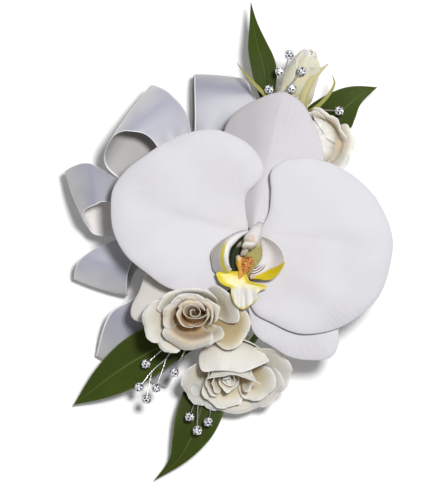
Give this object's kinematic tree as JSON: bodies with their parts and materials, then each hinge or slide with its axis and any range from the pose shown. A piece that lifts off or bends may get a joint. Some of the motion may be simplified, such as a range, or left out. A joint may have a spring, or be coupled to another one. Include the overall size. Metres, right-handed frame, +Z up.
{
  "type": "wrist corsage",
  "caption": "Wrist corsage of a white orchid, cream roses, leaves, satin ribbon loops and rhinestone sprays, bound with tape and clipped on an elastic band.",
  "frame": {"origin": "middle of the underside of the wristband's lower strap, the face it lies on", "axes": "+Z up from the band to the flowers' faces, +Y along the bound stems to the upper leaf, +X along the wristband to the viewer's right"},
  "size_m": [0.1059, 0.1542, 0.0459],
  "materials": {
    "elastic": "ribbed elastic",
    "clip_metal": "satin",
    "floral_tape": "matte waxed tape",
    "orchid_white": "soft, finely veined",
    "lip_yellow": "soft, waxy",
    "column_white": "soft, waxy",
    "rose_cream": "velvety",
    "calyx_green": "matte",
    "leaf_green": "glossy, veined",
    "satin": "satin weave",
    "bow_wire": "white taped wire",
    "rhinestone": "clear stones on silver wire"
  },
  "bodies": {
    "corsage": {"band_upper_strap": "elastic", "band_fold_left": "elastic", "band_fold_right": "elastic", "clip_plate": "clip_metal", "plate_rivet_left": "clip_metal", "plate_rivet_right": "clip_metal", "stem_bundle": "floral_tape", "orchid_pedicel": "floral_tape", "orchid_petal_left": "orchid_white", "orchid_petal_right": "orchid_white", "orchid_sepal_dorsal": "orchid_white", "orchid_sepal_left": "orchid_white", "orchid_sepal_right": "orchid_white", "orchid_lip": "lip_yellow", "orchid_lip_lobe_left": "lip_yellow", "orchid_lip_lobe_right": "lip_yellow", "orchid_column": "column_white", "orchid_anther_cap": "column_white", "rose_front_heart": "rose_cream", "rose_front_outer_petals": "rose_cream", "rose_front_calyx": "calyx_green", "rose_front_stem": "floral_tape", "rose_lower_heart": "rose_cream", "rose_lower_outer_petals": "rose_cream", "rose_lower_calyx": "calyx_green", "rose_lower_stem": "floral_tape", "rose_upper_heart": "rose_cream", "rose_upper_outer_petals": "rose_cream", "rose_upper_calyx": "calyx_green", "rose_upper_stem": "floral_tape", "rose_bud_heart": "rose_cream", "rose_bud_calyx": "calyx_green", "rose_bud_stem": "floral_tape", "bow_wire": "bow_wire", "ribbon_loop_1": "satin", "ribbon_loop_2": "satin", "ribbon_loop_3": "satin", "ribbon_loop_4": "satin", "ribbon_loop_5": "satin"},
    "band_lower": {"band_lower_strap": "elastic", "band_sewn_lap": "elastic"},
    "tab_left_lower": {"clip_tab_left_lower": "clip_metal"},
    "tab_left_upper": {"clip_tab_left_upper": "clip_metal"},
    "tab_right_lower": {"clip_tab_right_lower": "clip_metal"},
    "tab_right_upper": {"clip_tab_right_upper": "clip_metal"},
    "leaf_top": {"leaf_top_blade": "leaf_green", "leaf_top_stem": "floral_tape"},
    "leaf_right": {"leaf_right_blade": "leaf_green", "leaf_right_stem": "floral_tape"},
    "leaf_left": {"leaf_left_blade": "leaf_green", "leaf_left_stem": "floral_tape"},
    "leaf_bottom": {"leaf_bottom_blade": "leaf_green", "leaf_bottom_stem": "floral_tape"},
    "stones_left": {"spray_left": "rhinestone"},
    "stones_bottom": {"spray_bottom": "rhinestone"},
    "stones_top": {"spray_top": "rhinestone"},
    "stones_right": {"spray_right": "rhinestone"}
  },
  "joints": [
    {"name": "band_stretch", "type": "slide", "parent": "corsage", "child": "band_lower", "axis": [0, 0, -1], "range_m": [0, 0.04], "stiffness_N_per_m": 200, "deforming": ["band_fold_left", "band_fold_right"]},
    {"name": "tab_left_lower_bend", "type": "hinge", "parent": "corsage", "child": "tab_left_lower", "pos_m": [-0.0049, -0.007, 0.0128], "axis": [0, -1, 0], "range_deg": [0, 70]},
    {"name": "tab_left_upper_bend", "type": "hinge", "parent": "corsage", "child": "tab_left_upper", "pos_m": [-0.0049, 0.007, 0.0128], "axis": [0, -1, 0], "range_deg": [0, 70]},
    {"name": "tab_right_lower_bend", "type": "hinge", "parent": "corsage", "child": "tab_right_lower", "pos_m": [0.0049, -0.007, 0.0128], "axis": [0, 1, 0], "range_deg": [0, 70]},
    {"name": "tab_right_upper_bend", "type": "hinge", "parent": "corsage", "child": "tab_right_upper", "pos_m": [0.0049, 0.007, 0.0128], "axis": [0, 1, 0], "range_deg": [0, 70]},
    {"name": "leaf_top_bend", "type": "hinge", "parent": "corsage", "child": "leaf_top", "pos_m": [0.00125, 0.0246, 0.01917], "axis": [1, 0, 0], "range_deg": [-12, 10]},
    {"name": "leaf_right_bend", "type": "hinge", "parent": "corsage", "child": "leaf_right", "pos_m": [-0.00022, 0.0246, 0.01451], "axis": [1, 0, 0], "range_deg": [-15, 2]},
    {"name": "leaf_left_swing", "type": "hinge", "parent": "corsage", "child": "leaf_left", "pos_m": [-0.00227, -0.0246, 0.01594], "axis": [0, 0, 1], "range_deg": [-10, 4]},
    {"name": "leaf_bottom_swing", "type": "hinge", "parent": "corsage", "child": "leaf_bottom", "pos_m": [-0.00022, -0.0246, 0.01451], "axis": [0, 0, 1], "range_deg": [-8, 1]},
    {"name": "stones_left_swing", "type": "hinge", "parent": "corsage", "child": "stones_left", "pos_m": [-0.00235, -0.0246, 0.01786], "axis": [0, 0, 1], "range_deg": [-10, 8]},
    {"name": "stones_bottom_swing", "type": "hinge", "parent": "corsage", "child": "stones_bottom", "pos_m": [0, -0.0246, 0.0195], "axis": [0, 0, 1], "range_deg": [-8, 2]},
    {"name": "stones_top_swing", "type": "hinge", "parent": "corsage", "child": "stones_top", "pos_m": [-0.00086, 0.0246, 0.01935], "axis": [0, 0, 1], "range_deg": [-12, 12]},
    {"name": "stones_right_swing", "type": "hinge", "parent": "corsage", "child": "stones_right", "pos_m": [0.00177, 0.0246, 0.01523], "axis": [0, 0, 1], "range_deg": [-2, 4]}
  ]
}
